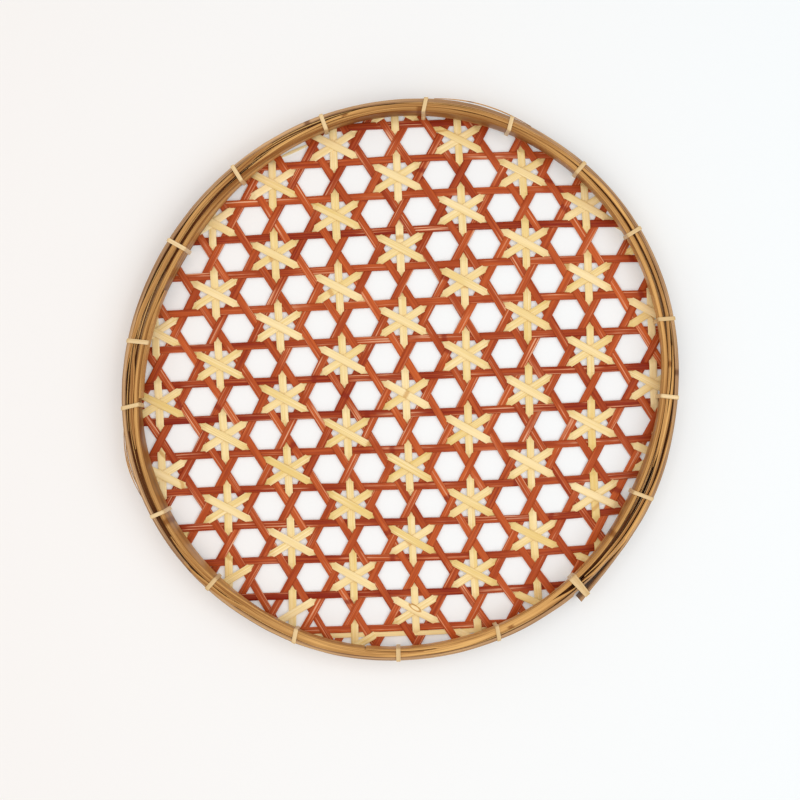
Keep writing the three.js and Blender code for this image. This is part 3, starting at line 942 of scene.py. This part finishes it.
def blend_colour(tree, mask, output, first, second):
    """Mixes two colours, each a constant or a node's colour, by a mask."""
    node = tree.nodes.new("ShaderNodeMix")
    node.data_type = "RGBA"
    link(tree, mask, output, node, 0)
    for socket, colour in zip(MIX_INPUTS, (first, second)):
        if isinstance(colour, bpy.types.Node):
            link(tree, colour, MIX_OUTPUT, node, socket)
        else:
            node.inputs[socket].default_value = colour
    return node


def attribute(tree, name):
    """A node that reads an attribute of the mesh."""
    node = tree.nodes.new("ShaderNodeAttribute")
    node.attribute_name = name
    return node


def fibre_group():
    """Node group: long fibres along a piece, broad streaks, slow blotches and growth rings."""
    group = bpy.data.node_groups.get("Bamboo fibre")
    if group:
        return group
    group = bpy.data.node_groups.new("Bamboo fibre", "ShaderNodeTree")
    for way, names in (("INPUT", FIBRE_INPUTS), ("OUTPUT", FIBRE_OUTPUTS)):
        for name in names:
            group.interface.new_socket(name, in_out=way, socket_type="NodeSocketFloat")
    entry = group.nodes.new("NodeGroupInput")
    leave = group.nodes.new("NodeGroupOutput")
    fibre_map = group.nodes.new("ShaderNodeUVMap")
    fibre_map.uv_map = "Fibre"
    split = group.nodes.new("ShaderNodeSeparateXYZ")
    link(group, fibre_map, "UV", split, "Vector")
    for output, run_share, across_scale, detail in (
        ("Fibre", 1.0, (entry, "Fine"), 2.0),
        ("Streak", 0.7, (entry, "Broad"), 2.0),
        ("Blotch", 2.0, BLOTCH_SCALE, 3.0),
    ):
        run = math_node(group, "MULTIPLY", (entry, "Run"), run_share)
        along = math_node(group, "MULTIPLY", (split, "X"), (run, "Value"))
        across = math_node(group, "MULTIPLY", (split, "Y"), across_scale)
        joined = group.nodes.new("ShaderNodeCombineXYZ")
        link(group, along, "Value", joined, "X")
        link(group, across, "Value", joined, "Y")
        grain = group.nodes.new("ShaderNodeTexNoise")
        grain.noise_dimensions = "2D"
        set_inputs(grain, {"Scale": 1.0, "Detail": detail})
        link(group, joined, "Vector", grain, "Vector")
        link(group, grain, "Fac", leave, output)
        if output == "Fibre":
            ragged = math_node(group, "MULTIPLY", (grain, "Fac"), RING_RAGGED)
    tone = attribute(group, "tone")
    start = math_node(group, "MULTIPLY_ADD", (tone, "Fac"), RING_STAGGER, (ragged, "Value"))
    count = math_node(group, "MULTIPLY_ADD", (split, "X"), (entry, "Rings"), (start, "Value"))
    part = math_node(group, "FRACT", (count, "Value"))
    off = away_from(group, part, "Value", 0.5)
    link(group, ramp(group, off, "Value", *RING_LINE), "Result", leave, "Ring")
    return group


def mark_knot(tree, plain, colour):
    """Draws the outline of the knot on the lowest star over a plain colour."""
    spot = tree.nodes.new("ShaderNodeTexCoord")
    place = tree.nodes.new("ShaderNodeMapping")
    place.vector_type = "TEXTURE"
    turn = (0.0, 0.0, KNOT_TURN * DEGREE)
    size = (KNOT_SIZE[0] * MM, KNOT_SIZE[1] * MM, 1.0)
    set_inputs(place, {"Location": Vector(KNOT_PLACE) * MM, "Rotation": turn, "Scale": size})
    link(tree, spot, "Object", place, "Vector")
    span = tree.nodes.new("ShaderNodeVectorMath")
    span.operation = "LENGTH"
    link(tree, place, "Vector", span, 0)
    off = away_from(tree, span, "Value", 1.0)
    return blend_colour(tree, ramp(tree, off, "Value", *KNOT_LINE), "Result", plain, colour)


def bamboo(name, settings):
    """A bamboo finish: two colours mixed by tone and grain, pale lines of worn fibres and painted highlight,
    growth rings and relief.
    """
    found = bpy.data.materials.get(name)
    if found:
        return found
    colours, fibre, looks = FINISHES[name]
    dark, light, wear_and_highlight, ring = (getattr(settings, colour) for colour in colours)
    tone_share, contrast, wear_and_highlight_from, rough, bump, shine = looks
    material, tree, shader = new_material(name)
    set_inputs(shader, {"Specular IOR Level": shine})
    fibres = tree.nodes.new("ShaderNodeGroup")
    fibres.node_tree = fibre_group()
    set_inputs(fibres, dict(zip(FIBRE_INPUTS, fibre)))
    tone = attribute(tree, "tone")
    pale = attribute(tree, "pale")
    mask = math_node(tree, "MULTIPLY_ADD", (tone, "Fac"), tone_share, (pale, "Fac"))
    mask = math_node(tree, "SUBTRACT", (mask, "Value"), 0.5 * tone_share)
    for output, share in GRAIN_SHARES:
        spread = ramp(tree, fibres, output, 0.5 - contrast, 0.5 + contrast)
        mask = math_node(tree, "MULTIPLY_ADD", (spread, "Result"), share, (mask, "Value"))
    mask.use_clamp = True
    colour = blend_colour(tree, mask, "Value", dark, light)
    # Pale lines of worn fibres, which on the stained strips also stand in for painted highlights.
    lines = ramp(tree, fibres, "Fibre", wear_and_highlight_from, wear_and_highlight_from + WEAR_AND_HIGHLIGHT_RANGE)
    patches = ramp(tree, fibres, "Blotch", *WEAR_AND_HIGHLIGHT_PATCHES)
    lines = math_node(tree, "MULTIPLY", (lines, "Result"), (patches, "Result"))
    colour = blend_colour(tree, lines, "Value", colour, wear_and_highlight)
    rings = math_node(tree, "MULTIPLY", (fibres, "Ring"), RING_STRENGTH)
    colour = blend_colour(tree, rings, "Value", colour, ring)
    if name == KNOTTED_FINISH:
        colour = mark_knot(tree, colour, ring)
    link(tree, colour, MIX_OUTPUT, shader, "Base Color")
    gloss = math_node(tree, "MULTIPLY_ADD", (fibres, "Fibre"), GLOSS_CHANGE, rough - GLOSS_CHANGE / 2)
    link(tree, gloss, "Value", shader, "Roughness")
    height = math_node(tree, "MULTIPLY_ADD", (fibres, "Ring"), RING_RELIEF, (fibres, "Fibre"))
    relief = tree.nodes.new("ShaderNodeBump")
    set_inputs(relief, {"Strength": bump, "Distance": RELIEF_DEPTH * MM})
    link(tree, height, "Value", relief, "Height")
    link(tree, relief, "Normal", shader, "Normal")
    return material


class BASKET_OT_stained_strips(bpy.types.Operator):
    """Weave the stained strips, over one set and under the next, in three directions"""

    bl_idname = "basket.stained_strips"
    bl_label = "Stained Strips"

    def execute(self, context):
        weave = context.scene.basket_weave
        finish = bamboo("stained_bamboo_finish", weave)
        width = STAINED_SPREAD * STAINED_WIDTH
        for name, number, line, seed in held_lines(STAINED_LINES, STAINED_WIDTH, STAINED_SEED):
            # Each set is shifted paler or darker by its painted sheen.
            base = (1 - STAINED_TONES) / 2 + STAINED_SET_SHEEN[name]
            tone = min(max(STAINED_TONES * tone_of(seed) + base, 0.0), 1.0)
            levels = stained_levels(name, line)
            shape = weave_strip(line, width, levels, seed, tone, weave.wander / MM)
            node = f"{name}_strip_{number:02d}"
            finish_piece(shape, f"woven_{node}", finish, [node])
        return {"FINISHED"}


class BASKET_OT_star_strips(bpy.types.Operator):
    """Lace the natural strips through every third hexagon, so that they cross as stars"""

    bl_idname = "basket.star_strips"
    bl_label = "Star Strips"

    def execute(self, context):
        weave = context.scene.basket_weave
        finish = bamboo("natural_bamboo_finish", weave)
        groups = [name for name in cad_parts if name.startswith("star_strips_")]
        width = STAR_SPREAD * STAR_WIDTH
        for name, number, line, seed in held_lines(STAR_LINES, STAR_WIDTH, STAR_SEED):
            levels = star_levels(name, line)
            shape = weave_strip(line, width, levels, seed, tone_of(seed), weave.wander / MM)
            end = line.at(line.reach(FOLD - line.rim_level, STAR_WIDTH / 2, 1), STAR_WIDTH / 2)
            node = node_with(Vector((end.x, end.y, TUCK_TOP)) * MM, groups)
            finish_piece(shape, f"laced_{name}_strip_{number}", finish, [node])
        return {"FINISHED"}


class BASKET_OT_edge_strip(bpy.types.Operator):
    """Lay the narrow natural strip below the lowest stained one, and a loose sliver at the upper edge"""

    bl_idname = "basket.edge_strip"
    bl_label = "Edge Strip"

    def execute(self, context):
        weave = context.scene.basket_weave
        finish = bamboo("natural_bamboo_finish", weave)
        line = Line(0, LOWEST.number, EDGE_MIDDLE - WEAVE_SHIFT.y, 0.0)
        levels = stained_levels("across", line)
        shape = weave_strip(line, EDGE_WIDTH, levels, EDGE_SEED, EDGE_TONE, 0.5 * weave.wander / MM)
        finish_piece(shape, "laid_edge_strip", finish, ["edge_strip"])
        shape = new_shape()
        first, last, *body = LOOSE_SLIVER
        lay_splint(shape, first, last, loose_radius, *body, LOOSE_SEED, LOOSE_TONE)
        finish_piece(shape, "loose_sliver", finish, [])
        return {"FINISHED"}


class BASKET_OT_hoops(bpy.types.Operator):
    """Bend the inner and the outer hoop"""

    bl_idname = "basket.hoops"
    bl_label = "Hoops"

    def execute(self, context):
        rim = context.scene.basket_rim
        hoops = (
            ("inner", inner_hoop_edges, INNER_BOTTOM, INNER_JOINT, 0.0, INNER_ROUND),
            ("outer", outer_hoop_edges, OUTER_BOTTOM, OUTER_JOINT, SPRING, OUTER_ROUND),
        )
        for seed, (name, *bend) in enumerate(hoops, HOOP_SEED):
            shape = new_shape()
            bend_hoop(shape, *bend, seed, rim.wander / MM)
            if name == "inner":
                pale_side(shape)
            finish = bamboo(f"{name}_hoop_finish", rim)
            finish_piece(shape, f"bent_{name}_hoop", finish, [f"{name}_hoop"])
        return {"FINISHED"}


class BASKET_OT_ties(bpy.types.Operator):
    """Lay the splints in the groove and tie both hoops together over them"""

    bl_idname = "basket.ties"
    bl_label = "Splints and Ties"

    def execute(self, context):
        rim = context.scene.basket_rim
        width = rim.tie_width / MM
        packed = bamboo("splint_finish", rim)
        lying = bamboo("inner_hoop_finish", rim)
        tie = bamboo("tie_bamboo_finish", rim)
        seeds = itertools.count(BINDING_SEED)
        numbers = itertools.count(1)
        for length, start, stop, places in BINDINGS:
            node = f"binding_{length}"
            shape = new_shape()
            fill_groove(shape, length, start, stop, seeds)
            finish_piece(shape, f"groove_splints_{length}", packed, [node])
            shape = new_shape()
            cover_groove(shape, length, start, stop, seeds)
            finish_piece(shape, f"lying_splints_{length}", lying, [node])
            for turn, foot in places:
                seed = next(seeds)
                shape = new_shape()
                tie_band(shape, turn, foot, width, 0.0, TIE_SLANT * drift(seed, 9.0, 4), seed)
                finish_piece(shape, f"tie_{next(numbers):02d}", tie, [node])
        shape = new_shape()
        spring = SPRING * exp((OUTER_JOINT - JOINT_TIE) / SPRING_REACH)
        for shift, slant in JOINT_TIE_ROUNDS:
            tie_band(shape, JOINT_TIE, 0, JOINT_TIE_SHARE * width, shift, slant, next(seeds), spring)
        finish_piece(shape, "wide_joint_tie", tie, ["joint_tie"])
        return {"FINISHED"}


def lay_floor(stage):
    """A wide plain floor just under the basket, in painted warm light on the left and cool light on the
    right, glowing a little to lift the shade on it.
    """
    material, tree, shader = new_material("floor_plain")
    spot = tree.nodes.new("ShaderNodeTexCoord")
    split = tree.nodes.new("ShaderNodeSeparateXYZ")
    link(tree, spot, "Object", split, "Vector")
    side = ramp(tree, split, "X", -FLOOR_BLEND, FLOOR_BLEND)
    colour = blend_colour(tree, side, "Result", stage.floor_left, stage.floor_right)
    link(tree, colour, MIX_OUTPUT, shader, "Base Color")
    # The floor glows, painted light that lifts the shade on it.
    link(tree, colour, MIX_OUTPUT, shader, "Emission Color")
    set_inputs(shader, {"Roughness": 0.9, "Specular IOR Level": 0.1, "Emission Strength": FLOOR_GLOW})
    shape = bmesh.new()
    place = Matrix.Translation((0.0, 0.0, -FLOOR_DROP))
    bmesh.ops.create_grid(shape, x_segments=1, y_segments=1, size=FLOOR_SIZE, matrix=place)
    floor = add_object(shape, "floor", material)
    floor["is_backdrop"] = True


def set_lights(scene, stage):
    """An even sky, and large soft lights that aim at the middle of the basket."""
    world = scene.world or bpy.data.worlds.new("soft_room")
    scene.world = world
    world.use_nodes = True
    sky = world.node_tree.nodes["Background"]
    set_inputs(sky, {"Color": (1.0, 1.0, 1.0, 1.0), "Strength": SKY_STRENGTH})
    for name, (size, place, tint) in LIGHTS.items():
        lamp = bpy.data.lights.new(f"{name}_light", "AREA")
        lamp.energy = getattr(stage, f"{name}_power")
        lamp.color = tint
        lamp.size = size
        light = bpy.data.objects.new(f"{name}_light", lamp)
        light.location = place
        light.rotation_euler = (-Vector(place)).to_track_quat("-Z", "Y").to_euler()
        scene.collection.objects.link(light)


def set_camera(scene, stage):
    """A camera that looks straight down on the basket, turned a little."""
    lens = bpy.data.cameras.new("camera")
    lens.lens = lens.sensor_width / 2 * CAMERA_HEIGHT / VIEW_HALF_WIDTH
    camera = bpy.data.objects.new("camera", lens)
    turn = Matrix.Rotation(CAMERA_TURN * DEGREE, 3, "Z")
    camera.location = turn @ Vector(CAMERA_PLACE)
    camera.location.z = RIM_TOP * MM + stage.camera_height
    camera.rotation_euler = turn.to_euler()
    scene.collection.objects.link(camera)
    scene.camera = camera


class BASKET_OT_stage(bpy.types.Operator):
    """Set up the floor, the soft lights and the camera"""

    bl_idname = "basket.stage"
    bl_label = "Stage"

    def execute(self, context):
        scene = context.scene
        scene.view_settings.view_transform = "Standard"
        lay_floor(scene.basket_stage)
        set_lights(scene, scene.basket_stage)
        set_camera(scene, scene.basket_stage)
        return {"FINISHED"}


SETTINGS = {"basket_weave": BasketWeave, "basket_rim": BasketRim, "basket_stage": BasketStage}
PIECES = (
    BASKET_OT_stage,
    BASKET_OT_stained_strips,
    BASKET_OT_star_strips,
    BASKET_OT_edge_strip,
    BASKET_OT_hoops,
    BASKET_OT_ties,
)


class BASKET_PT_panel(bpy.types.Panel):
    """Lists the basket's pieces and their settings"""

    bl_idname = "BASKET_PT_panel"
    bl_label = "Tray Basket"
    bl_space_type = "VIEW_3D"
    bl_region_type = "UI"
    bl_category = "Basket"

    def draw(self, context):
        layout = self.layout
        for group in SETTINGS:
            box = layout.box()
            settings = getattr(context.scene, group)
            for name in settings.bl_rna.properties.keys():
                if name not in ("rna_type", "name"):
                    box.prop(settings, name)
        for piece in PIECES:
            layout.operator(piece.bl_idname)


CLASSES = (*SETTINGS.values(), *PIECES, BASKET_PT_panel)


def register():
    for cls in CLASSES:
        bpy.utils.register_class(cls)
    for name, group in SETTINGS.items():
        setattr(bpy.types.Scene, name, PointerProperty(type=group))


def unregister():
    for name in SETTINGS:
        delattr(bpy.types.Scene, name)
    for cls in reversed(CLASSES):
        bpy.utils.unregister_class(cls)


def main():
    register()
    bpy.ops.basket.stage()
    bpy.ops.basket.stained_strips()
    bpy.ops.basket.star_strips()
    bpy.ops.basket.edge_strip()
    bpy.ops.basket.hoops()
    bpy.ops.basket.ties()
    boxes = {"cad": CAD_BOX, "visual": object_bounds()}
    {name: [list(corner) for corner in box] for name, box in boxes.items()}


if __name__ == "__main__":
    main()
